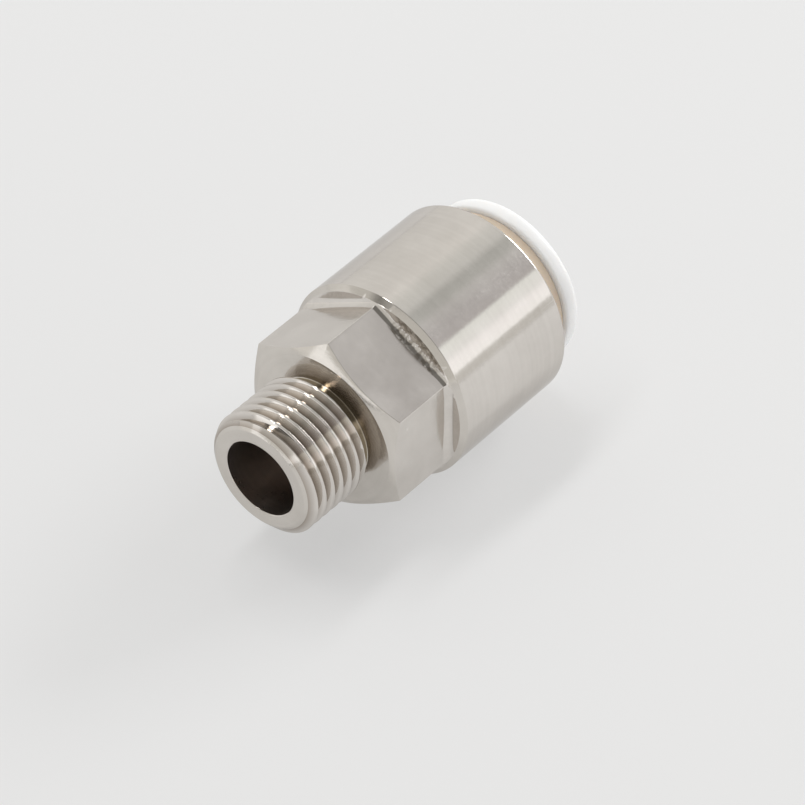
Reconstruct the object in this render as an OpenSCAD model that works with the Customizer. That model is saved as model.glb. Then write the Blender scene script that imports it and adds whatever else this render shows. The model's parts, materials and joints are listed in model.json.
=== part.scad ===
// Straight push to connect fitting: a male parallel pipe thread at one end, and a
// push-in socket for plastic tube at the other, with a release button that slides in.
//
// Frame: millimetres. X is the fitting's axis. The origin is on that axis, in the
// plane of the hexagon's front face, where the fitting seats on the port it is
// screwed into. The thread points along -X and the tube comes out along +X.
// The fitting lies on its shell, so +Z is up. Two of the hexagon's corners are on Z.

/* [Male thread] */
// Major diameter of the parallel pipe thread, 1/8 inch size
thread_major_d = 9.728; // [9.6:0.001:9.8]
// Axial distance between neighbouring crests, 28 to the inch
thread_pitch = 0.907; // [0.88:0.001:0.93]
// Radial depth of the thread
thread_depth = 0.581; // [0.45:0.001:0.6]
// Distance from the thread's end face to the hexagon's front face
thread_len = 6.75; // [6.5:0.25:9]
// Outer diameter of the flat end face, inside its lead-in chamfer
end_face_d = 8.1; // [7.8:0.1:8.4]
// Length of that chamfer, along the axis
lead_in_len = 0.55; // [0.4:0.05:0.9]
// Diameter of the plain neck between the thread and the hexagon
neck_d = 8.3; // [7.8:0.1:8.5]
// Length of that neck
neck_len = 0.95; // [0.8:0.05:1.2]

/* [Hexagon] */
// Distance across the hexagon's flats
hex_af = 13; // [12.9:0.05:13.1]
// Distance from the hexagon's front face to the wall that the flats run into
hex_len = 6.1; // [6:0.1:6.3]
// Diameter of the flat part of the hexagon's front face
hex_face_d = 12.3; // [11.6:0.1:12.6]
// Angle of the chamfer on the hexagon's front corners, from the face
hex_chamfer_angle = 30; // [20:1:35]
// Radius of the hollow corner where each flat meets the wall
flat_fillet_r = 0.6; // [0.4:0.05:0.7]

/* [Shell] */
// Outer diameter of the round shell
shell_d = 16; // [15.9:0.1:16.4]
// Distance from the hexagon's front face to the shell's rear face
shell_end = 17.75; // [17.7:0.05:17.85]
// Leg of the chamfer on the shell's front edge
shell_chamfer = 0.4; // [0.2:0.05:0.45]
// Radius of the shell's rear edge
shell_rear_edge_r = 0.25; // [0.1:0.05:0.4]

/* [Tube socket] */
// Outside diameter of the tube that the fitting takes
tube_d = 10; // [9.98:0.01:10.02]
// Diameter of the flow passage through the thread
flow_d = 6.1; // [5:0.1:6.4]
// Position of the shoulder that stops the tube
tube_stop = 3; // [2.5:0.1:4]
// Radial interference of the seal's lip and of the claws' tips with the tube
grip_depth = 0.11; // [0.08:0.01:0.12]

/* [Release button] */
// How far the release button slides in
release_stroke = 1.8; // [1.7:0.05:1.8]
// Gap between the shell's rear face and the button's flange at rest
button_gap = 1.87; // [1.84:0.01:1.95]
// Outer diameter of the button's flange
button_d = 13.4; // [13.2:0.1:14]
// Length of the button's flange
button_len = 1.43; // [1.35:0.01:1.8]

/* [Grip claws] */
// Slope of a claw at rest, from the axis
claw_slope = 24.4; // [24:0.1:25]
// Thickness of a claw
claw_thickness = 0.3; // [0.2:0.05:0.3]
// Width of the slot between two neighbouring claws
claw_slot = 0.45; // [0.4:0.05:0.6]

/* [Hidden] */
claw_count = 12;
claw_names = [for (k = [1 : claw_count]) str("claw_", k < 10 ? "0" : "", k)];
facets = 96;
pin_facets = 48;
// Overlap between shapes that are joined, and how far a cutter runs past the material
eps = 0.02;
past = 1;

// Radii of the body
major_r = thread_major_d / 2;
root_r = major_r - thread_depth;
neck_r = neck_d / 2;
end_face_r = end_face_d / 2;
crest_flat = thread_pitch / 6;
root_half = crest_flat / 2;
flank_run = thread_pitch / 2 - crest_flat;
first_groove = 0.6 - thread_len;
last_groove = -neck_len - 0.25;
shell_r = shell_d / 2;
rim_r = shell_r - shell_chamfer;
face_r = hex_face_d / 2;
flow_r = flow_d / 2;
flow_edge = 0.12;

// Stepped bore of the body, from the tube stop to the mouth
tube_bore_r = tube_d / 2 + 0.1;
chamber_start = 6.9;
chamber_r = 6.5;
mouth_start = 13.6;
mouth_r = 7.2;
mouth_edge = 0.2;

// Pieces that sit in the bore, in order from the thread end
seal_start = 6.95;
seal_end = 9.4;
spacer_start = 9.45;
spacer_end = 10;
claw_ring_end = 14;
claw_ring_inner_r = 5.95;
ring_slot_depth = 0.55;
guide_end = 17.65;
guide_step = 16.45;
guide_room_r = 6.75;
guide_bore_r = 6.35;

// Surfaces that touch the tube
grip_r = tube_d / 2 - grip_depth;
passage_r = tube_d / 2 + 0.15;

// Claw hinge line and the claw's length, down to the tube
hinge_x = 13.4;
hinge_r = 6.15;
claw_trim = 0.3;
claw_len = (hinge_r - grip_r) / sin(claw_slope) + claw_trim;
claw_root_w = 2 * hinge_r * tan(180 / claw_count) - claw_slot;
claw_tip_w = 2 * grip_r * tan(180 / claw_count) - claw_slot;

// Collet: nose that opens the claws, shoulder that keeps it in, sleeve and spigot
nose_r = 5.5;
nose_start = 11.52 + release_stroke;
nose_end = 14.8;
shank_r = 5.75;
shoulder_r = 6.65;
shoulder_start = 15.9;
shoulder_end = 16.4;
sleeve_r = 6.28;
button_front = shell_end + button_gap;
spigot_r = 5.85;
spigot_len = 0.8;
snap_height = 0.15;
snap_start = 0.45;
snap_len = 0.25;
snap_slope = 0.1;

// Clearances between pieces that slide or turn, across and along the axis
running = 0.05;
end_play = 0.02;

// Revolves a flat outline, drawn as [radius, distance along X], about X.
module turned() {
    rotate([0, 90, 0]) rotate_extrude($fn = facets) children();
}

// Removes a square corner of a turned outline and leaves an arc of radius rad.
// The corner is at (r, x); side_r and side_x point from the material to the corner.
module rounded_corner(r, x, rad, side_r, side_x) {
    centre = [r - side_r * rad, x - side_x * rad];
    low = [side_r > 0 ? centre[0] : centre[0] - rad - eps,
           side_x > 0 ? centre[1] : centre[1] - rad - eps];
    difference() {
        translate(low) square(rad + eps);
        translate(centre) circle(rad, $fn = facets);
    }
}

// Half the width of a thread groove at the outer end of its cutter.
function groove_top_half() = root_half + flank_run * (thread_depth + past) / thread_depth;

// Outline of one thread groove, open outwards, with its centre at x.
function groove(x) = [
    [major_r + past, x - groove_top_half()],
    [root_r, x - root_half],
    [root_r, x + root_half],
    [major_r + past, x + groove_top_half()]
];

// Threaded spigot with its grooves, lead-in chamfer and neck.
module male_thread() {
    neck_slope = (major_r - neck_r) / 2;
    turned() difference() {
        polygon([
            [flow_r, -thread_len],
            [end_face_r, -thread_len],
            [major_r, lead_in_len - thread_len],
            [major_r, -neck_len],
            [neck_r, neck_slope - neck_len],
            [neck_r, eps],
            [flow_r, eps]
        ]);
        for (x = [first_groove : thread_pitch : last_groove]) polygon(groove(x));
    }
}

// Round blank of the hexagon and the shell, with its chamfers and edges.
module blank() {
    chamfer_len = (rim_r - face_r) * tan(hex_chamfer_angle);
    turned() difference() {
        polygon([
            [0, 0],
            [face_r, 0],
            [rim_r, chamfer_len],
            [rim_r, hex_len],
            [shell_r, hex_len + shell_chamfer],
            [shell_r, shell_end],
            [0, shell_end]
        ]);
        rounded_corner(shell_r, shell_end, shell_rear_edge_r, 1, 1);
    }
}

// Space that the cutter takes away beyond one flat, which faces +Z here.
module flat_cut() {
    flat = hex_af / 2;
    width = shell_d + 2 * past;
    fillet_x = hex_len - flat_fillet_r;
    fillet_z = flat + flat_fillet_r;
    translate([-past, -width / 2, flat]) cube([fillet_x + past, width, shell_r]);
    translate([-past, -width / 2, fillet_z]) cube([hex_len + past, width, shell_r]);
    translate([fillet_x, 0, fillet_z]) rotate([90, 0, 0])
        cylinder(r = flat_fillet_r, h = width, center = true, $fn = pin_facets);
}

// Stepped hole through the body: flow passage, tube bore, seal chamber and mouth.
module body_bore() {
    turned() polygon([
        [0, -thread_len - past],
        [flow_r + flow_edge + past, -thread_len - past],
        [flow_r, -thread_len + flow_edge],
        [flow_r, tube_stop],
        [tube_bore_r, tube_stop],
        [tube_bore_r, chamber_start],
        [chamber_r, chamber_start],
        [chamber_r, mouth_start],
        [mouth_r, mouth_start],
        [mouth_r, shell_end - mouth_edge],
        [mouth_r + mouth_edge, shell_end],
        [mouth_r + mouth_edge, shell_end + past],
        [0, shell_end + past]
    ]);
}

// One-piece metal body: thread, neck, hexagon and shell.
module body() {
    color([0.74, 0.72, 0.69]) difference() {
        union() {
            male_thread();
            difference() {
                blank();
                for (k = [0 : 5]) rotate([30 + 60 * k, 0, 0]) flat_cut();
            }
        }
        body_bore();
    }
}

// Rubber seal with an inner lip on the tube and an outer lip on the chamber wall.
module tube_seal() {
    edge = 0.15;
    inner_lip_r = 5.25;
    heel_r = 5.2;
    heel_len = 0.5;
    groove_inner_r = 5.72;
    groove_outer_r = 6.0;
    groove_depth = 1.2;
    land_len = 0.2;
    color([0.09, 0.09, 0.1]) turned() polygon([
        [chamber_r, seal_start + edge],
        [chamber_r, seal_end],
        [heel_r + edge, seal_end],
        [heel_r, seal_end - heel_len],
        [grip_r, seal_start + groove_depth + land_len / 2],
        [grip_r, seal_start + groove_depth - land_len / 2],
        [inner_lip_r, seal_start],
        [inner_lip_r + edge, seal_start],
        [groove_inner_r, seal_start + groove_depth],
        [groove_outer_r, seal_start + groove_depth],
        [chamber_r - edge, seal_start]
    ]);
}

// Rigid ring that backs the seal and keeps the claws off it.
module seal_spacer() {
    inner_r = 5.2;
    edge = 0.15;
    color([0.86, 0.84, 0.78]) turned() polygon([
        [inner_r, spacer_start],
        [chamber_r - running, spacer_start],
        [chamber_r - running, spacer_end],
        [inner_r + edge, spacer_end],
        [inner_r, spacer_end - edge]
    ]);
}

// Spring steel ring that carries the claws, with a slot between each two of them.
module claw_ring() {
    ring_len = claw_ring_end - mouth_start;
    color([0.7, 0.71, 0.73]) difference() {
        turned() translate([claw_ring_inner_r, mouth_start])
            square([mouth_r - running - claw_ring_inner_r, ring_len]);
        for (k = [0 : claw_count - 1]) rotate([(k + 0.5) * 360 / claw_count, 0, 0])
            translate([mouth_start - past, -claw_slot / 2, claw_ring_inner_r - past])
                cube([ring_len + 2 * past, claw_slot, ring_slot_depth + past]);
    }
}

// One flat tapered claw, leaning in from its hinge line to bite on the tube.
module claw(k) {
    half = claw_thickness / 2;
    color([0.76, 0.77, 0.79]) rotate([(k - 1) * 360 / claw_count, 0, 0]) difference() {
        translate([hinge_x, 0, hinge_r]) rotate([0, -claw_slope, 0]) {
            translate([0, 0, -half]) linear_extrude(claw_thickness) polygon([
                [0, -claw_root_w / 2],
                [0, claw_root_w / 2],
                [-claw_len, claw_tip_w / 2],
                [-claw_len, -claw_tip_w / 2]
            ]);
            rotate([90, 0, 0])
                cylinder(r = half, h = claw_root_w, center = true, $fn = pin_facets);
        }
        rotate([0, 90, 0]) cylinder(r = grip_r, h = 2 * hinge_x, center = true, $fn = facets);
    }
}

// Metal ring pressed into the mouth, which holds the claw ring and guides the collet.
module guide_ring() {
    lead = 0.15;
    color([0.68, 0.69, 0.7]) turned() polygon([
        [guide_room_r, claw_ring_end],
        [mouth_r, claw_ring_end],
        [mouth_r, guide_end - lead],
        [mouth_r - lead, guide_end],
        [guide_bore_r + lead, guide_end],
        [guide_bore_r, guide_end - lead],
        [guide_bore_r, guide_step],
        [guide_room_r, guide_step]
    ]);
}

// Sliding sleeve: its nose opens the claws, its shoulder keeps it in the guide ring,
// and the button snaps onto the spigot at its rear.
module collet() {
    bevel = 0.2;
    spigot_end = button_front + spigot_len;
    snap_x = button_front + snap_start;
    color([0.86, 0.79, 0.69]) turned() polygon([
        [passage_r, nose_start],
        [nose_r - bevel / 2, nose_start],
        [nose_r, nose_start + bevel],
        [nose_r, nose_end],
        [shank_r, nose_end + bevel],
        [shank_r, shoulder_start],
        [shoulder_r, shoulder_start],
        [shoulder_r, shoulder_end],
        [sleeve_r, shoulder_end],
        [sleeve_r, button_front],
        [spigot_r, button_front],
        [spigot_r, snap_x],
        [spigot_r + snap_height, snap_x],
        [spigot_r + snap_height, snap_x + snap_len - snap_slope],
        [spigot_r, snap_x + snap_len],
        [spigot_r, spigot_end],
        [passage_r, spigot_end]
    ]);
}

// Button that is pressed in to let the tube go. It snaps onto the collet and can turn.
module release_button() {
    outer_r = button_d / 2;
    front = button_front + end_play;
    rear = button_front + button_len;
    socket_end = button_front + spigot_len + running;
    snap_x = button_front + snap_start - running;
    mouth_round = 0.4;
    rear_round = 0.45;
    front_round = 0.2;
    color([0.95, 0.95, 0.94]) turned() difference() {
        translate([passage_r, front]) square([outer_r - passage_r, rear - front]);
        translate([passage_r - past, front - past])
            square([spigot_r + running - passage_r + past, socket_end - front + past]);
        translate([spigot_r, snap_x])
            square([snap_height + running, snap_len + 2 * running]);
        rounded_corner(outer_r, rear, rear_round, 1, 1);
        rounded_corner(outer_r, front, front_round, 1, -1);
        rounded_corner(passage_r, rear, mouth_round, -1, 1);
    }
}

body();
tube_seal();
seal_spacer();
claw_ring();
for (k = [1 : claw_count]) claw(k);
guide_ring();
collet();
release_button();
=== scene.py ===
"""Looks of a push to connect fitting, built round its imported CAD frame.

Units are metres, in the frame's own axes: X along the fitting from its thread to its
tube mouth, Z up, origin in the hexagon's front face. MM turns millimetres into metres.
"""
import json
import math

import bmesh
import bpy
import numpy as np
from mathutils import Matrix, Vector


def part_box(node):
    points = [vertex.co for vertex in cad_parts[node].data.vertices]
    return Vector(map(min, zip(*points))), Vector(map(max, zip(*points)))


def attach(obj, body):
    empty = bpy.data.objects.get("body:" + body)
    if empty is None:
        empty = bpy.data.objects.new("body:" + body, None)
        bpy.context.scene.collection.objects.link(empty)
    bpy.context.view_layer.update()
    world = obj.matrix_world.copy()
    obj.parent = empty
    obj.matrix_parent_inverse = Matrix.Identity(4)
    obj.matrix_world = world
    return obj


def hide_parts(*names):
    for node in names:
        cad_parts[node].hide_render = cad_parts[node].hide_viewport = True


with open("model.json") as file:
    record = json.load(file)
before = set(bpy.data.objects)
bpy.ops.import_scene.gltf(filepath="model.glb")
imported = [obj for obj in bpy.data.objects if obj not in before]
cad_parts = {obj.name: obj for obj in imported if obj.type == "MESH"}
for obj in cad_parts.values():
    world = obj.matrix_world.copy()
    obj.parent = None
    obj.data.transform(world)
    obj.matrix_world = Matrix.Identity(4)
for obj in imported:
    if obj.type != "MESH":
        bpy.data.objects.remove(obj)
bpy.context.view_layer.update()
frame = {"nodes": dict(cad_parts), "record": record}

MM = 0.001
TAU = 2 * math.pi
WELD = 0.0002 * MM       # points closer than this are one point
ARC_STEPS = 4            # quads round each small edge radius
BODY_STEP = 1.5          # degrees between the lines of the metal body
TURN_STEPS = 8           # even steps along one turn of the thread, besides its corners
RING_LINES = 192         # lines round each plastic ring
CREASE = math.radians(36)    # faces that meet at a greater angle are not shaded as one


# ---------------------------------------------------------------- sizes

# Read from the frame
MOUNTS = {m["name"]: m for m in frame["record"]["mounts"]}
BODY_LOW, BODY_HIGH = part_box("body")
COLLET_LOW, COLLET_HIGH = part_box("collet")
BUTTON_LOW, BUTTON_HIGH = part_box("release_button")

SHELL_R = BODY_HIGH.z
SHELL_END = BODY_HIGH.x
THREAD_START = BODY_LOW.x
MAJOR_R = MOUNTS["male_thread"]["dims"]["r_mm"] * MM
FLOW_R = MOUNTS["flow_passage"]["dims"]["r_mm"] * MM
SOCKET_R = MOUNTS["tube_socket"]["dims"]["r_mm"] * MM
FLAT_R = math.hypot(*MOUNTS["spanner_flat_a"]["pos_m"][1:])
MOUTH_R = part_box("guide_ring")[1].z
FLOOR_Z = BODY_LOW.z

# Thread: a 55 degree form with 28 threads to the inch
PITCH = 25.4 * MM / 28
THREAD_DEPTH = 0.581 * MM
CREST_HALF = PITCH / 12
FLANK_SLOPE = math.tan(math.radians(27.5))
ROOT_R = MAJOR_R - THREAD_DEPTH
END_FACE_R = 4.05 * MM
LEAD_IN_LEN = 0.55 * MM
LEAD_IN_SLOPE = (MAJOR_R - END_FACE_R) / LEAD_IN_LEN
NECK_R = 4.15 * MM
NECK_LEN = 0.95 * MM
CREST_ROUND = 0.040 * MM
ROOT_ROUND = 0.09 * MM
FIRST_CREST = 0.63       # turns past the hexagon's front face, on +Y
RUN_OUT_SLOPE = 2        # fall in radius over length, from the crests into the neck

# Hexagon and the hollow where its flats run out into the shell
FACE_R = 6.15 * MM
CHAMFER_ANGLE = math.radians(30)
FILLET_R = 0.6 * MM
FILLET_STEPS = 8
HEX_LEN = 6.1 * MM
RIM_CHAMFER = 0.4 * MM
RIM_R = SHELL_R - RIM_CHAMFER
CORNER_ROUND = 0.07 * MM
SHAKEN_AND_SHADED = (106, 139, 5)   # degrees round X from +Y where the hollow is torn and carries painted shade, and their fade

# Bore
TUBE_STOP = 3.0 * MM
CHAMBER_START = 6.9 * MM
CHAMBER_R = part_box("tube_seal")[1].z
MOUTH_START = 13.6 * MM
FLOW_EDGE = 0.06 * MM
MOUTH_EDGE = 0.2 * MM

# Edge radii of the metal body
SHARP = 0.03 * MM        # a sharp edge, only just broken
NECK_ROUND = 0.12 * MM
CHAMFER_ROUND = 0.04 * MM
RIM_ROUND = 0.06 * MM
REAR_ROUND = 0.25 * MM
STOP_ROUND = 0.05 * MM
FLOW_ROUND = 0.02 * MM
END_ROUND = 0.15 * MM

# Surfaces of the metal body, in the order of its materials
TURNED, FACED, THREADED, NECKED, MILLED, CHATTERED, BORED = range(7)


# ---------------------------------------------------------------- mesh tools

def rounded(corners, radii):
    """Replaces each inner corner of polylines by an arc of that radius.

    corners is an array (line, corner, 2) of places along X and radii from the axis.
    Returns (line, point, 2), with ARC_STEPS + 1 points for each inner corner. An arc that
    does not fit between its neighbours gets smaller, down to the bare corner.
    """
    share = np.linspace(0, 1, ARC_STEPS + 1)
    parts = [corners[:, :1]]
    for i in range(1, corners.shape[1] - 1):
        corner = corners[:, i]
        before = corners[:, i - 1] - corner
        after = corners[:, i + 1] - corner
        len_before = np.linalg.norm(before, axis=1)
        len_after = np.linalg.norm(after, axis=1)
        unit_before = before / np.maximum(len_before, 1e-12)[:, None]
        unit_after = after / np.maximum(len_after, 1e-12)[:, None]
        cosine = np.clip((unit_before * unit_after).sum(1), -1, 1)
        half = np.maximum(np.arccos(cosine) / 2, 1e-3)
        reach = np.minimum(radii[i] / np.tan(half), 0.45 * np.minimum(len_before, len_after))
        start = corner + unit_before * reach[:, None]
        end = corner + unit_after * reach[:, None]
        weight = np.sin(half)[:, None, None]
        s = share[None, :, None]
        w0, w1, w2 = (1 - s) ** 2, 2 * s * (1 - s) * weight, s ** 2
        arc = w0 * start[:, None] + w1 * corner[:, None] + w2 * end[:, None]
        parts.append(arc / (w0 + w1 + w2))
    parts.append(corners[:, -1:])
    return np.concatenate(parts, axis=1)


def zones_of(zones):
    """Zone of each quad strip of a rounded outline, from the zone of each straight run."""
    strips = [zones[0]]
    half = ARC_STEPS // 2
    for here, after in zip(zones, zones[1:]):
        strips += [here] * half + [after] * (ARC_STEPS - half) + [after]
    return strips


def revolve(lines, angles, strips, start=0, shift=0):
    """Points and quads of a surface round X. Line j lies at angles[j], and the last
    line joins the first one, shift points further along."""
    count, length = lines.shape[:2]
    x, r = lines[..., 0], lines[..., 1]
    points = np.stack([x, r * np.cos(angles)[:, None], r * np.sin(angles)[:, None]], -1)
    quads, marks = [], []
    for j in range(count):
        wraps = j == count - 1
        k = 0 if wraps else j + 1
        step = shift if wraps else 0
        for i in range(length - 1):
            a = start + j * length + i
            near = start + k * length + min(i + step, length - 1)
            far = start + k * length + min(i + 1 + step, length - 1)
            quads.append((a, near, far, a + 1))
            marks.append(strips[i])
    return points.reshape(-1, 3), quads, marks


def make_piece(name, surfaces, materials, body, stands_for):
    """One closed mesh from revolved surfaces, riding on a CAD body."""
    mesh = bpy.data.meshes.new(name)
    points = np.concatenate([s[0] for s in surfaces])
    quads = [q for s in surfaces for q in s[1]]
    marks = [m for s in surfaces for m in s[2]]
    bm = bmesh.new()
    verts = [bm.verts.new(p) for p in points]
    for quad, mark in zip(quads, marks):
        if len(set(quad)) < 4:
            continue
        face = bm.faces.new([verts[i] for i in quad])
        face.material_index = mark
        face.smooth = True
    bmesh.ops.remove_doubles(bm, verts=bm.verts, dist=WELD)
    bmesh.ops.dissolve_degenerate(bm, edges=bm.edges, dist=WELD)
    loose = [v for v in bm.verts if not v.link_faces]
    bmesh.ops.delete(bm, geom=loose, context="VERTS")
    bmesh.ops.recalc_face_normals(bm, faces=bm.faces)
    for edge in bm.edges:
        if len(edge.link_faces) == 2 and edge.calc_face_angle(0) > CREASE:
            edge.smooth = False
    bm.to_mesh(mesh)
    bm.free()
    for material in materials:
        mesh.materials.append(material)
    piece = bpy.data.objects.new(name, mesh)
    bpy.context.scene.collection.objects.link(piece)
    weighted = piece.modifiers.new("even_shading", "WEIGHTED_NORMAL")
    weighted.keep_sharp = True
    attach(piece, body)
    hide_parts(stands_for)


# ---------------------------------------------------------------- metal body

def hexagon_r(off_centre, apothem):
    """Radius of the hexagon at an angle from a flat's middle, with rounded corners."""
    plain = apothem / np.cos(off_centre)
    centre = (apothem - CORNER_ROUND) / math.cos(math.radians(30))
    to_corner = math.radians(30) - np.abs(off_centre)
    inside = CORNER_ROUND ** 2 - (centre * np.sin(to_corner)) ** 2
    round_r = centre * np.cos(to_corner) + np.sqrt(np.maximum(inside, 0))
    return np.where(inside > 0, np.minimum(plain, round_r), plain)


def body_angles():
    """Even steps round the axis, with closer ones beside the hexagon's corners."""
    even = np.radians(np.arange(0, 360, BODY_STEP))
    corners = np.radians(np.arange(30, 360, 60))
    close = np.radians([-0.45, -0.15, 0.15, 0.45])
    return np.unique(np.concatenate([even] + [corners + c for c in close]).round(9))


def blank_surface(angles, thread_ends):
    """Neck, hexagon, shell and the stepped bore, back to the thread's end face."""
    off = (angles + math.radians(30)) % math.radians(60) - math.radians(30)
    flat = hexagon_r(off, FLAT_R)
    fillet_x = HEX_LEN - FILLET_R
    fillet_d = FLAT_R + FILLET_R
    turned_d = np.minimum(fillet_d, RIM_R * np.cos(off))
    last = np.arccos(np.clip((fillet_d - turned_d) / FILLET_R, -1, 1))

    def ring(x, r):
        one = np.ones_like(angles)
        return np.stack([x * one, r * one], -1)

    corners, radii, zones = [], [], []

    def add(x, r, radius, zone):
        corners.append(ring(x, r))
        radii.append(radius)
        zones.append(zone)

    add(thread_ends[1], NECK_R, 0, NECKED)
    add(0, NECK_R, NECK_ROUND, FACED)
    add(0, FACE_R, SHARP, FACED)
    add((flat - FACE_R) * math.tan(CHAMFER_ANGLE), flat, CHAMFER_ROUND, MILLED)
    add(fillet_x, flat, 0, CHATTERED)
    for part in np.linspace(0, 1, FILLET_STEPS + 1)[1:]:
        turn = last * part
        depth = fillet_d - FILLET_R * np.cos(turn)
        r = np.minimum(hexagon_r(off, depth), RIM_R)
        add(fillet_x + FILLET_R * np.sin(turn), r, 0, CHATTERED)
    add(HEX_LEN, RIM_R, SHARP, FACED)
    add(HEX_LEN + RIM_CHAMFER, SHELL_R, RIM_ROUND, TURNED)
    add(SHELL_END, SHELL_R, REAR_ROUND, TURNED)
    add(SHELL_END, MOUTH_R + MOUTH_EDGE, SHARP, TURNED)
    add(SHELL_END - MOUTH_EDGE, MOUTH_R, SHARP, BORED)
    add(MOUTH_START, MOUTH_R, SHARP, BORED)
    add(MOUTH_START, CHAMBER_R, SHARP, BORED)
    add(CHAMBER_START, CHAMBER_R, SHARP, BORED)
    add(CHAMBER_START, SOCKET_R, SHARP, BORED)
    add(TUBE_STOP, SOCKET_R, STOP_ROUND, BORED)
    add(TUBE_STOP, FLOW_R, SHARP, BORED)
    add(THREAD_START + FLOW_EDGE, FLOW_R, FLOW_ROUND, FACED)
    add(THREAD_START, FLOW_R + FLOW_EDGE, FLOW_ROUND, FACED)
    add(THREAD_START, END_FACE_R, END_ROUND, FACED)
    add(thread_ends[0], ROOT_R, 0, FACED)
    lines = rounded(np.stack(corners, 1), radii)
    return revolve(lines, angles, zones_of(zones[:-1]))


def thread_surface(angles, thread_ends, start):
    """Right-hand thread: the rows of points follow the helix, cut by the lead-in cone
    at the front and by the slope into the neck behind."""
    crest_edge, root_edge = CREST_HALF, CREST_HALF + THREAD_DEPTH * FLANK_SLOPE
    outline = np.array([[
        [-PITCH / 2, ROOT_R], [-root_edge, ROOT_R], [-crest_edge, MAJOR_R],
        [crest_edge, MAJOR_R], [root_edge, ROOT_R], [PITCH / 2, ROOT_R],
    ]])
    rounds = [0, ROOT_ROUND, CREST_ROUND, CREST_ROUND, ROOT_ROUND, 0]
    outline = rounded(outline, rounds)[0]
    edges = outline[1:-1, 0] / PITCH
    turn = np.unique(np.concatenate([np.arange(-0.5, 0.5, 1 / TURN_STEPS), edges]).round(6))
    turn = turn[:-1] if turn[-1] >= 0.5 else turn
    low = math.floor((thread_ends[0] / PITCH) - FIRST_CREST) - 2
    high = math.ceil((thread_ends[1] / PITCH) - FIRST_CREST) + 1
    along = np.concatenate([turn + n for n in range(low, high + 1)])
    crest = FIRST_CREST + angles[:, None] / TAU
    x = np.clip((along[None, :] + crest) * PITCH, *thread_ends)
    phase = x / PITCH - crest
    phase = (phase + 0.5) % 1 - 0.5
    r = np.interp(phase * PITCH, outline[:, 0], outline[:, 1])
    lead_in = END_FACE_R + (x - THREAD_START) * LEAD_IN_SLOPE
    run_out = MAJOR_R - RUN_OUT_SLOPE * (x + NECK_LEN)
    r = np.minimum(np.minimum(r, lead_in), np.maximum(run_out, NECK_R))
    lines = np.stack([x, r], -1)
    strips = [THREADED] * (len(along) - 1)
    return revolve(lines, angles, strips, start, shift=len(turn))


def metal_body(materials):
    """The one-piece body: thread, neck, hexagon and shell, closed through its bore."""
    angles = body_angles()
    neck_start = (MAJOR_R - NECK_R) / RUN_OUT_SLOPE - NECK_LEN
    thread_start = THREAD_START + (ROOT_R - END_FACE_R) / LEAD_IN_SLOPE
    thread_ends = (thread_start, neck_start)
    blank = blank_surface(angles, thread_ends)
    thread = thread_surface(angles, thread_ends, len(blank[0]))
    make_piece("fitting_body_metal", [blank, thread], materials,
               "fitting_body", "body")


# ---------------------------------------------------------------- turned small pieces

def lathe(name, outline, material, body, stands_for):
    """A closed ring from its outline. Each corner is its place along X, its radius from
    the axis, and the radius of its own rounding in millimetres."""
    angles = np.linspace(0, TAU, RING_LINES, endpoint=False)
    corners = [(x, r) for x, r, _ in outline]
    first = [(corners[0][0] + corners[-1][0]) / 2, (corners[0][1] + corners[-1][1]) / 2]
    lines = np.repeat(np.array([first] + corners + [first])[None], RING_LINES, axis=0)
    lines = rounded(lines, [0] + [e * MM for _, _, e in outline] + [0])
    surface = revolve(lines, angles, [0] * lines.shape[1])
    make_piece(name, [surface], [material], body, stands_for)


# ---------------------------------------------------------------- material tools

class Nodes:
    """A node tree under construction."""

    def __init__(self, tree):
        self.tree = tree
        tree.nodes.clear()

    def add(self, kind, inputs=None, **settings):
        node = self.tree.nodes.new(kind)
        for key, value in settings.items():
            setattr(node, key, value)
        for key, value in (inputs or {}).items():
            self.put(value, node.inputs[key])
        return node

    def put(self, value, socket):
        if isinstance(value, bpy.types.NodeSocket):
            self.tree.links.new(value, socket)
        else:
            socket.default_value = value

    def math(self, operation, a, b=0.0):
        node = self.add("ShaderNodeMath", {0: a, 1: b}, operation=operation)
        return node.outputs[0]

    def both(self, a, b):
        return self.math("MULTIPLY", a, b)

    def remap(self, value, low, high, to_low, to_high):
        inputs = {0: value, 1: low, 2: high, 3: to_low, 4: to_high}
        return self.add("ShaderNodeMapRange", inputs).outputs[0]

    def between(self, value, low, high, soft):
        """1 where value lies between low and high, fading to 0 over soft on each side."""
        rise = self.remap(value, low - soft, low, 0, 1)
        return self.both(rise, self.remap(value, high, high + soft, 1, 0))

    def ramp(self, value, stops):
        """Colour at value, from stops of (value, colour), straight between them."""
        node = self.add("ShaderNodeValToRGB", {"Fac": value})
        elements = node.color_ramp.elements
        for place, _ in stops[2:]:
            elements.new(place)
        for element, (place, color) in zip(elements, stops):
            element.position, element.color = place, (*color, 1)
        return node.outputs["Color"]

    def blend(self, factor, a, b):
        node = self.add("ShaderNodeMix", data_type="RGBA")
        self.put(factor, node.inputs["Factor"])
        for value, key in ((a, "A"), (b, "B")):
            socket = [i for i in node.inputs if i.name == key and i.type == "RGBA"][0]
            self.put(value if isinstance(value, bpy.types.NodeSocket) else (*value, 1), socket)
        return [o for o in node.outputs if o.type == "RGBA"][0]


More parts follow.
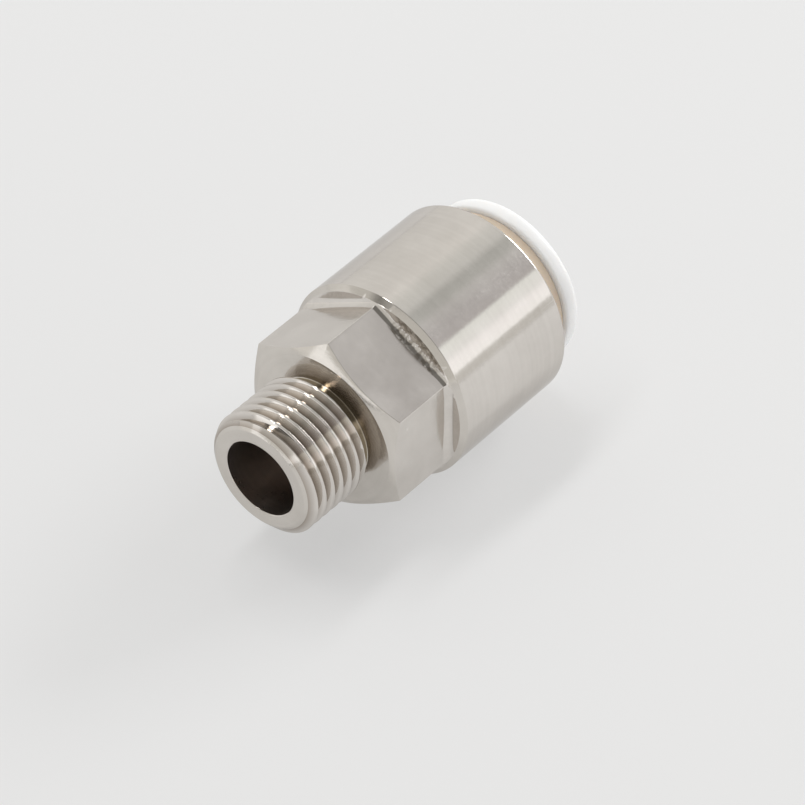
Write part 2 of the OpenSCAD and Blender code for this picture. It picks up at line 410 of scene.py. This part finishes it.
class Surface(Nodes):
    """A procedural material under construction, on one Principled shader."""

    def __init__(self, name, **constants):
        self.material = bpy.data.materials.new(name)
        self.material.use_nodes = True
        super().__init__(self.material.node_tree)
        self.shader = self.add("ShaderNodeBsdfPrincipled", constants)
        output = self.tree.nodes.new("ShaderNodeOutputMaterial")
        self.tree.links.new(self.shader.outputs[0], output.inputs["Surface"])
        self.place = self.add("ShaderNodeTexCoord").outputs["Object"]

    def noise(self, scale, detail=3.0, rough=0.6, along=None, place=None):
        """Noise with features about 1 / scale metres wide, along one value or in space."""
        inputs = {"Scale": scale, "Detail": detail, "Roughness": rough}
        if along is not None:
            inputs["W"] = along
            return self.add("ShaderNodeTexNoise", inputs, noise_dimensions="1D").outputs[0]
        inputs["Vector"] = place or self.place
        return self.add("ShaderNodeTexNoise", inputs, noise_dimensions="3D").outputs[0]

    def stretched(self, scale):
        return self.add("ShaderNodeMapping", {"Vector": self.place, "Scale": scale}).outputs[0]

    def bump(self, height, strength, depth, under=None):
        inputs = {"Height": height, "Strength": strength, "Distance": depth}
        if under is not None:
            inputs["Normal"] = under
        return self.add("ShaderNodeBump", inputs).outputs[0]

    def finish(self, color, roughness, normal):
        self.put(color, self.shader.inputs["Base Color"])
        self.put(roughness, self.shader.inputs["Roughness"])
        self.put(normal, self.shader.inputs["Normal"])
        return self.material

    def from_axis(self):
        """Distance from the fitting's axis."""
        _, y, z = self.add("ShaderNodeSeparateXYZ", {0: self.place}).outputs
        return self.math("SQRT", self.math("ADD", self.math("MULTIPLY", y, y),
                                           self.math("MULTIPLY", z, z)))

    def turning(self):
        """A distance that changes along X and away from it, so that marks run round X."""
        away = 1.37          # not 1, so that a 45 degree chamfer gets marks too
        x = self.add("ShaderNodeSeparateXYZ", {0: self.place}).outputs[0]
        return self.math("ADD", x, self.math("MULTIPLY", self.from_axis(), away))

    def round_x(self):
        """Sets the grain to run round X, so that reflections blur along X."""
        tangent = self.add("ShaderNodeTangent", direction_type="RADIAL", axis="X")
        self.put(tangent.outputs[0], self.shader.inputs["Tangent"])
        self.put(0.25, self.shader.inputs["Anisotropic Rotation"])


# Metal reflects a little less where it is seen at a slant
EDGE_TINT = {"Specular Tint": (0.78, 0.77, 0.76, 1)}


def turned_metal(name, light, dark, roughness, anisotropy, depth, grain=24000, rings=0.15,
                 painted_root_shade=None):
    """Bright metal with fine marks of the lathe tool running round X. A root colour, where
    one is given, is painted shade, darkening the metal towards the bottom of the thread."""
    s = Surface(name, Metallic=1.0, Anisotropic=anisotropy, **EDGE_TINT)
    s.round_x()
    along = s.turning()
    waver = s.math("MULTIPLY", s.noise(90, 2), 0.06 * MM)
    along = s.math("ADD", along, waver)
    fine = s.noise(grain, 4, 0.65, along=along)
    coarse = s.noise(grain / 9, 2, 0.5, along=along)
    smudge = s.noise(260, 4, 0.6)
    speck = s.noise(5200, 2, 0.5)
    height = s.math("MULTIPLY", fine, 0.4)
    height = s.math("ADD", height, s.math("MULTIPLY", coarse, rings))
    height = s.math("ADD", height, speck)
    tone = s.math("ADD", s.math("MULTIPLY", coarse, 0.2), s.math("MULTIPLY", smudge, 0.8))
    color = s.blend(s.remap(tone, 0.35, 0.65, 0, 1), dark, light)
    # Painted shade: the metal darkens towards the root colour at the bottom of the thread.
    if painted_root_shade:
        root_shade_mask = s.remap(s.from_axis(), ROOT_R, MAJOR_R - 0.1 * MM, 1, 0)
        color = s.blend(root_shade_mask, color, painted_root_shade)
    rough = s.math("ADD", s.remap(speck, 0.3, 0.7, roughness - 0.03, roughness + 0.04),
                   s.remap(smudge, 0.35, 0.7, -0.01, 0.03))
    return s.finish(color, rough, s.bump(height, 1.0, depth))


def milled_metal(name, light, dark, roughness):
    """Flat that a cutter passed over: faint curved strokes, soft stains and small nicks."""
    s = Surface(name, Metallic=1.0, **EDGE_TINT)
    warp = s.noise(160, 2)
    strokes = s.add("ShaderNodeTexWave", {
        "Vector": s.stretched((1.0, 0.55, 0.55)), "Scale": 420.0, "Distortion": 7.0,
        "Detail": 3.0, "Detail Scale": 2.2, "Detail Roughness": 0.6,
    }, wave_type="BANDS", bands_direction="X").outputs["Fac"]
    grain = s.noise(1, 4, 0.65, place=s.stretched((2600, 14000, 14000)))
    stain = s.noise(330, 4, 0.6)
    nick = s.add("ShaderNodeTexVoronoi", {"Vector": s.place, "Scale": 620.0},
                 feature="F1").outputs["Distance"]
    dent = s.remap(nick, 0.03, 0.11, 1, 0)
    dent = s.math("MULTIPLY", dent, s.remap(warp, 0.52, 0.6, 0, 1))
    color = s.blend(s.remap(stain, 0.35, 0.65, 0, 1), dark, light)
    color = s.blend(s.math("MULTIPLY", dent, 0.6), color, (0.90, 0.88, 0.85))
    rough = s.math("ADD", s.remap(stain, 0.3, 0.7, roughness - 0.03, roughness + 0.06),
                   s.remap(grain, 0.3, 0.7, -0.03, 0.03))
    normal = s.bump(grain, 0.3, 0.0035 * MM)
    normal = s.bump(strokes, 0.3, 0.006 * MM, normal)
    normal = s.bump(s.math("SUBTRACT", 1.0, dent), 0.8, 0.02 * MM, normal)
    return s.finish(color, rough, normal)


def chattered_and_shaded_metal(name, light, dark, roughness):
    """Hollow at the end of a flat, with ripples where the cutter shook on one flat, and painted
    shade on that flat: its hollow is coloured darker and browner.
    """
    s = Surface(name, Metallic=1.0, **EDGE_TINT)
    _, y, z = s.add("ShaderNodeSeparateXYZ", {0: s.place}).outputs
    angle = s.math("DEGREES", s.math("ARCTAN2", z, y))
    shaken_and_shaded = s.between(angle, *SHAKEN_AND_SHADED)
    ripple = s.noise(1, 2, 0.5, place=s.stretched((1500, 2500, 2500)))
    tear = s.noise(1, 4, 0.7, place=s.stretched((6000, 1500, 1500)))
    stain = s.noise(600, 3, 0.6)
    # Painted shade: on that flat the hollow is darkened, browner still in the ripples' troughs.
    tone = s.math("SUBTRACT", s.remap(stain, 0.35, 0.65, 0, 1), s.math("MULTIPLY", shaken_and_shaded, 0.5))
    painted_hollow_shade = s.math("MULTIPLY", shaken_and_shaded, s.remap(ripple, 0.42, 0.56, 0.6, 0.05))
    color = s.blend(painted_hollow_shade, s.blend(tone, dark, light), (0.25, 0.21, 0.165))
    rough = s.remap(tear, 0.3, 0.7, roughness - 0.05, roughness + 0.08)
    normal = s.bump(tear, 0.5, 0.003 * MM)
    height = s.math("MULTIPLY", ripple, s.remap(shaken_and_shaded, 0, 1, 0.06, 1))
    return s.finish(color, rough, s.bump(height, 1.0, 0.10 * MM, normal))


def moulded_plastic(name, light, dark, roughness, scatter, tint):
    """Moulded plastic: a faint flow of colour, fine texture and a few handling marks."""
    s = Surface(name, **{
        "IOR": 1.5, "Subsurface Weight": scatter, "Subsurface Radius": tint,
        "Subsurface Scale": 1.0 * MM,
    })
    flow = s.noise(1, 3, 0.6, place=s.stretched((120, 340, 340)))
    grain = s.noise(9000, 3, 0.6)
    orange_peel = s.noise(1500, 2, 0.5)
    scuff = s.noise(1, 5, 0.7, place=s.stretched((700, 2600, 420)))
    color = s.blend(s.remap(flow, 0.35, 0.65, 0, 1), dark, light)
    rough = s.math("ADD", s.remap(grain, 0.3, 0.7, roughness - 0.04, roughness + 0.04),
                   s.remap(scuff, 0.55, 0.75, 0, 0.12))
    normal = s.bump(orange_peel, 0.12, 0.006 * MM)
    return s.finish(color, rough, s.bump(grain, 0.15, 0.002 * MM, normal))


def seal_rubber(name):
    """Black nitrile rubber with a satin skin and a trace of dust."""
    s = Surface(name, IOR=1.52)
    dust = s.noise(1400, 4, 0.65)
    pore = s.noise(7000, 3, 0.6)
    color = s.blend(s.remap(dust, 0.55, 0.8, 0, 1), (0.012, 0.012, 0.013), (0.05, 0.05, 0.052))
    rough = s.remap(pore, 0.3, 0.7, 0.42, 0.58)
    return s.finish(color, rough, s.bump(pore, 0.3, 0.004 * MM))


# ---------------------------------------------------------------- the fitting's pieces

WARM_METAL = (0.735, 0.70, 0.66)
DIM_METAL = (0.67, 0.635, 0.595)

body_materials = [
    turned_metal("metal_turned", WARM_METAL, DIM_METAL, roughness=0.11, anisotropy=0.6,
                 depth=0.0014 * MM),
    # The faced metal's own colour, set a little darker than the turned metal as painted shade
    # for the thread's shadow on the hexagon's front face.
    turned_metal("metal_faced_painted_shade", (0.69, 0.655, 0.61), (0.63, 0.595, 0.55), roughness=0.13,
                 anisotropy=0.45, depth=0.0015 * MM, grain=15000, rings=0.8),
    # The thread's root colour is painted shade in its grooves.
    turned_metal("metal_threaded", WARM_METAL, DIM_METAL, roughness=0.06, anisotropy=0.3,
                 depth=0.0006 * MM, grain=30000, painted_root_shade=(0.42, 0.375, 0.33)),
    # The neck's dark olive colour is painted shade: the undercut looks dark from its shade and
    # the dark things it reflects.
    turned_metal("metal_neck_painted_shade", (0.42, 0.365, 0.28), (0.31, 0.26, 0.185), roughness=0.12,
                 anisotropy=0.3, depth=0.002 * MM, grain=9000),
    milled_metal("metal_milled", WARM_METAL, DIM_METAL, roughness=0.17),
    # The hollow carries painted shade on the flat facing up towards -Y.
    chattered_and_shaded_metal("metal_chattered_painted_shade", WARM_METAL, DIM_METAL, roughness=0.13),
    # The bore's darker brown colour is painted shade inside the hole.
    turned_metal("metal_bored_painted_shade", (0.50, 0.44, 0.40), (0.38, 0.33, 0.30), roughness=0.30,
                 anisotropy=0.4, depth=0.0015 * MM),
]
metal_body(body_materials)

white_plastic = moulded_plastic(
    "plastic_white", (0.97, 0.97, 0.97), (0.93, 0.93, 0.925),
    roughness=0.30, scatter=0.6, tint=(1.0, 0.95, 0.9))
beige_plastic = moulded_plastic(
    "plastic_beige", (0.82, 0.69, 0.55), (0.77, 0.64, 0.50),
    roughness=0.36, scatter=0.15, tint=(1.0, 0.7, 0.45))
ivory_plastic = moulded_plastic(
    "plastic_ivory", (0.72, 0.68, 0.58), (0.66, 0.61, 0.52),
    roughness=0.40, scatter=0.1, tint=(1.0, 0.85, 0.6))


# Bore of the button and of the collet, a little wider than the socket in the body
PLASTIC_BORE_R = SOCKET_R + 0.05 * MM


def release_button(material):
    """White flange that snaps onto the collet's end, with a round mouth for the tube."""
    front, rear = BUTTON_LOW.x, BUTTON_HIGH.x
    snap_start, snap_end = front + 0.38 * MM, front + 0.73 * MM
    socket_end = front + 0.83 * MM
    outer_r, bore_r = BUTTON_HIGH.z, PLASTIC_BORE_R
    spigot_r, snap_r = 5.9 * MM, 6.05 * MM
    outline = [
        (front, spigot_r, 0.05), (front, outer_r, 0.2), (rear, outer_r, 0.45),
        (rear, bore_r, 0.4), (socket_end, bore_r, 0.03), (socket_end, spigot_r, 0.03),
        (snap_end, spigot_r, 0.02), (snap_end, snap_r, 0.02),
        (snap_start, snap_r, 0.02), (snap_start, spigot_r, 0.02),
    ]
    lathe("release_button_white", outline, material, "button",
          "release_button")


def collet_sleeve(material):
    """Sliding sleeve: nose, shank, shoulder, the neck that shows, and the spigot."""
    nose, tail = COLLET_LOW.x, COLLET_HIGH.x
    shank_end, collar, shoulder = 14.8 * MM, 15.0 * MM, 15.9 * MM
    neck = 16.4 * MM
    step = BUTTON_LOW.x - 0.02 * MM
    snap, snap_top, snap_end = step + 0.45 * MM, step + 0.6 * MM, step + 0.7 * MM
    bore_r, nose_r, shank_r, collar_r = PLASTIC_BORE_R, 5.4 * MM, 5.5 * MM, 5.75 * MM
    shoulder_r, neck_r = COLLET_HIGH.z, 6.28 * MM
    spigot_r, snap_r = 5.85 * MM, 6.0 * MM
    outline = [
        (nose, bore_r, 0.03), (nose, nose_r, 0.03), (nose + 0.2 * MM, shank_r, 0.05),
        (shank_end, shank_r, 0.1), (collar, collar_r, 0.05), (shoulder, collar_r, 0.03),
        (shoulder, shoulder_r, 0.05), (neck, shoulder_r, 0.05), (neck, neck_r, 0.03),
        (step, neck_r, 0.05), (step, spigot_r, 0.03), (snap, spigot_r, 0.02),
        (snap, snap_r, 0.03), (snap_top, snap_r, 0.03), (snap_end, spigot_r, 0.02),
        (tail, spigot_r, 0.1), (tail, bore_r, 0.1),
    ]
    lathe("collet_beige", outline, material, "release_sleeve", "collet")


release_button(white_plastic)
collet_sleeve(beige_plastic)

# Inner pieces keep their CAD shape, with their edges broken and a full material
spring_steel = turned_metal(
    "metal_spring", (0.68, 0.69, 0.71), (0.60, 0.61, 0.63),
    roughness=0.22, anisotropy=0.3, depth=0.0003 * MM)
guide_metal = turned_metal(
    "metal_guide", (0.66, 0.65, 0.64), (0.56, 0.55, 0.54),
    roughness=0.24, anisotropy=0.4, depth=0.0004 * MM)
rubber = seal_rubber("rubber_seal")
INNER = {"tube_seal": (rubber, 0.04), "seal_spacer": (ivory_plastic, 0.03),
         "claw_ring": (spring_steel, 0.03), "guide_ring": (guide_metal, 0.04)}
for node_name in frame["nodes"]:
    if node_name.startswith("claw_") and node_name != "claw_ring":
        INNER[node_name] = (spring_steel, 0.02)
for node_name, (material, edge) in INNER.items():
    node = frame["nodes"][node_name]
    node.data.materials.clear()
    node.data.materials.append(material)
    node.modifiers.new("joined_faces", "WELD").merge_threshold = WELD
    bevel = node.modifiers.new("broken_edges", "BEVEL")
    bevel.width = edge * MM
    bevel.segments = 2
    bevel.angle_limit = math.radians(35)
    bevel.harden_normals = True


# ---------------------------------------------------------------- stage, light and camera

def direction(azimuth, elevation):
    """Unit vector; azimuth is from +X towards +Y, elevation above the floor."""
    a, e = math.radians(azimuth), math.radians(elevation)
    return Vector((math.cos(a) * math.cos(e), math.sin(a) * math.cos(e), math.sin(e)))


def aim(thing, place, at):
    thing.location = place
    thing.rotation_mode = "QUATERNION"
    thing.rotation_quaternion = (at - place).to_track_quat("-Z", "Y")


CENTRE = Vector(((THREAD_START + BUTTON_HIGH.x) / 2, 0, 0))
LIGHT_DISTANCE = 0.55

FLOOR_HALF = 1.5         # half the floor's width
FLOOR_GLOW = 0.44
FLOOR_LIGHT = (0.36, 0.36, 0.36)
FLOOR_DARK = (0.345, 0.345, 0.345)

# Studio: a wall on the thread's side, a dark zone overhead, and bands everywhere else.
# Ranges in X, Y and Z are parts of the unit direction that looks there. A direction's
# slant is how far it rises above a plane that climbs gently towards +Y. A range of three
# numbers holds from the first to the second and fades over the third on each side; one of
# two numbers is the fade alone.
STUDIO_STRENGTH = 1.25
SLANT = 0.17
WALL = (0.72, 0.71, 0.69)
WALL_X = (-0.45, -0.30)
UPPER_WALL = (0.55, 0.54, 0.515)
UPPER_SLANT = (0.15, 0.17)
PANEL = (1.0, 1.0, 1.0)
PANEL_Y = (-0.22, 0.62, 0.03)
PANEL_SLANT = (0.055, 0.15, 0.01)
LOW_PANEL_Y = (0.32, 0.62, 0.02)
LOW_PANEL_Z = (0.02, 0.2, 0.02)
DARK = (0.05, 0.043, 0.036)
DARK_Y = (-0.24, 0.29, 0.02)
DARK_SLANT = (-0.2, 0.055, 0.006)
OVERHEAD = (0.17, 0.165, 0.155)
OVERHEAD_NEAR_X = (-0.72, -0.60)
OVERHEAD_FAR_X = (0.30, 0.36)
OVERHEAD_Y = (0.48, 0.62)
OVERHEAD_Z = (0.36, 0.46)
FAR_PANEL = (0.95, 0.94, 0.92)
FAR_X = (0.24, 0.42, 0.04)
FAR_OVER = (0.13, 0.31, 0.02)    # in shares of the half turn over X
# Tone of the bands at each angle over X, in degrees from the +Y horizon
BANDS = [
    (0, (0.65, 0.645, 0.63)), (64, (0.65, 0.64, 0.62)), (74, (0.60, 0.60, 0.58)),
    (86, (0.575, 0.575, 0.56)), (94, (0.43, 0.435, 0.42)), (102, (0.435, 0.44, 0.425)),
    (110, (0.495, 0.49, 0.485)), (122, (0.43, 0.42, 0.42)), (136.3, (0.45, 0.435, 0.435)),
    (139, (0.80, 0.82, 0.80)), (151, (0.83, 0.835, 0.83)), (157, (0.96, 0.95, 0.96)),
    (169.3, (0.98, 0.98, 0.98)), (170.3, (0.56, 0.55, 0.53)), (180, (0.57, 0.56, 0.54)),
]


def soft_box(name, azimuth, elevation, width, height, radiance):
    """Rectangular soft light that faces the fitting; radiance is what a mirror would show."""
    light = bpy.data.lights.new(name, "AREA")
    light.shape = "RECTANGLE"
    light.size, light.size_y = width, height
    light.energy = radiance * width * height * math.pi
    lamp = bpy.data.objects.new(name, light)
    bpy.context.scene.collection.objects.link(lamp)
    aim(lamp, CENTRE + direction(azimuth, elevation) * LIGHT_DISTANCE, CENTRE)
    lamp.visible_camera = False


def floor():
    """Plain pale light table under the shell; its glow keeps the shadow faint."""
    bm = bmesh.new()
    bmesh.ops.create_grid(bm, x_segments=24, y_segments=24, size=FLOOR_HALF)
    mesh = bpy.data.meshes.new("floor")
    bm.to_mesh(mesh)
    bm.free()
    plane = bpy.data.objects.new("floor", mesh)
    bpy.context.scene.collection.objects.link(plane)
    plane.location.z = FLOOR_Z
    s = Surface("floor_pale", **{
        "IOR": 1.4, "Emission Color": (1.0, 1.0, 1.0, 1), "Emission Strength": FLOOR_GLOW,
    })
    drift = s.noise(6, 3, 0.5)
    color = s.blend(s.remap(drift, 0.35, 0.65, 0, 1), FLOOR_DARK, FLOOR_LIGHT)
    mesh.materials.append(s.finish(color, s.remap(drift, 0.3, 0.7, 0.7, 0.8),
                                   s.bump(s.noise(3000, 2), 0.05, 0.01 * MM)))


def surroundings():
    """Studio round the fitting: walls and panels of even tone, mostly in bands that run
    along X, so that the round shell shows them as straight stripes."""
    world = bpy.data.worlds.new("studio")
    bpy.context.scene.world = world
    world.use_nodes = True
    n = Nodes(world.node_tree)
    toward = n.add("ShaderNodeTexCoord").outputs["Generated"]
    x, y, z = n.add("ShaderNodeSeparateXYZ", {0: toward}).outputs
    slant = n.math("SUBTRACT", z, n.math("MULTIPLY", y, SLANT))

    # Share of the half turn from the +Y horizon over the top to the -Y horizon
    over = n.math("DIVIDE", n.math("ARCTAN2", z, y), math.pi)
    bands = n.ramp(over, [(degrees / 180, color) for degrees, color in BANDS])
    far = n.both(n.between(x, *FAR_X), n.between(over, *FAR_OVER))
    bands = n.blend(far, bands, FAR_PANEL)

    panel = n.both(n.between(y, *PANEL_Y), n.between(slant, *PANEL_SLANT))
    low_panel = n.both(n.between(y, *LOW_PANEL_Y), n.between(z, *LOW_PANEL_Z))
    dark = n.both(n.between(y, *DARK_Y), n.between(slant, *DARK_SLANT))
    wall = n.blend(panel, WALL, PANEL)
    wall = n.blend(low_panel, wall, PANEL)
    wall = n.blend(dark, wall, DARK)
    wall = n.blend(n.remap(slant, *UPPER_SLANT, 0, 1), wall, UPPER_WALL)

    overhead = n.both(n.remap(x, *OVERHEAD_NEAR_X, 0, 1), n.remap(x, *OVERHEAD_FAR_X, 1, 0))
    overhead = n.both(overhead, n.remap(y, *OVERHEAD_Y, 1, 0))
    overhead = n.both(overhead, n.remap(z, *OVERHEAD_Z, 0, 1))
    room = n.blend(n.remap(x, *WALL_X, 1, 0), bands, wall)
    room = n.blend(overhead, room, OVERHEAD)
    light = n.add("ShaderNodeBackground", {"Strength": STUDIO_STRENGTH, "Color": room})
    output = n.tree.nodes.new("ShaderNodeOutputWorld")
    n.tree.links.new(light.outputs[0], output.inputs[0])


floor()
surroundings()
soft_box("strip_behind", azimuth=95, elevation=69, width=0.50, height=0.07, radiance=9.0)
soft_box("past_the_mouth", azimuth=-10, elevation=26, width=0.27, height=0.16, radiance=10.0)

# The camera stands off the thread's end, above it and to its side
VIEW_AZIMUTH = -50.57
VIEW_ELEVATION = 42.9
VIEW_DISTANCE = 320 * MM
VIEW_AIM = Vector((5.66, -2.7, -0.02)) * MM
FIELD_OF_VIEW = math.radians(10.22)

lens = bpy.data.cameras.new("camera")
lens.sensor_width = 36
lens.lens = lens.sensor_width / 2 / math.tan(FIELD_OF_VIEW / 2)
lens.clip_start, lens.clip_end = 0.01, 10
camera = bpy.data.objects.new("camera", lens)
bpy.context.scene.collection.objects.link(camera)
azimuth, elevation = math.radians(VIEW_AZIMUTH), math.radians(VIEW_ELEVATION)
back = Vector((math.sin(azimuth) * math.cos(elevation),
               -math.cos(azimuth) * math.cos(elevation), math.sin(elevation)))
aim(camera, VIEW_AIM + back * VIEW_DISTANCE, VIEW_AIM)
bpy.context.scene.camera = camera
bpy.context.scene.view_settings.view_transform = "Standard"

bpy.context.view_layer.update()
